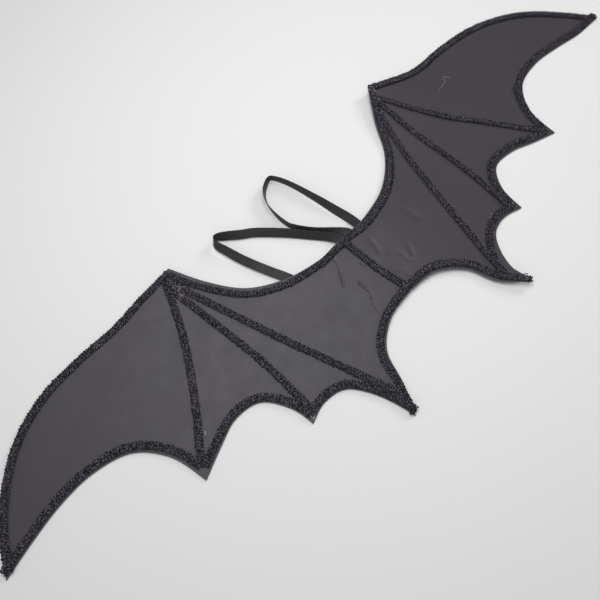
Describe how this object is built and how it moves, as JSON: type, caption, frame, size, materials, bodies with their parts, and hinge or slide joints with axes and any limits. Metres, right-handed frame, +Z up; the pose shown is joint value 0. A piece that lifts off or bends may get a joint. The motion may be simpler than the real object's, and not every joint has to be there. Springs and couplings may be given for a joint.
{
  "type": "costume bat wings",
  "caption": "Flat costume bat wings cut from foam sheet, edged and ribbed with glued gimp braid, with elastic arm loops under the top edge.",
  "frame": {"origin": "centre of the bounding box in plan, on the surface that the wings lie on", "axes": "+X along the span towards the right wing as seen from above with the peaks away from the viewer, +Y towards the peaks and the arm loops, +Z up out of the decorated side"},
  "size_m": [0.9, 0.2898, 0.0137],
  "materials": {
    "foam": "satin closed-cell foam sheet, charcoal",
    "gimp": "woven gimp braid, black with a slight thread sheen",
    "elastic": "flat knitted elastic, black"
  },
  "bodies": {
    "root": {"panel": "foam", "top_braid": "gimp", "centre_scallop_braid": "gimp", "leading_braid_left": "gimp", "outer_scallop_braid_left": "gimp", "middle_scallop_braid_left": "gimp", "inner_scallop_braid_left": "gimp", "leading_braid_right": "gimp", "tip_braid_right": "gimp", "outer_scallop_braid_right": "gimp", "middle_scallop_braid_right": "gimp", "inner_scallop_braid_right": "gimp", "rib_braid_left_1": "gimp", "rib_braid_left_2": "gimp", "rib_braid_left_3": "gimp", "rib_braid_right_1": "gimp", "rib_braid_right_2": "gimp", "rib_braid_right_3": "gimp", "centre_braid": "gimp", "strap_left": "elastic", "strap_right": "elastic"}
  },
  "joints": []
}
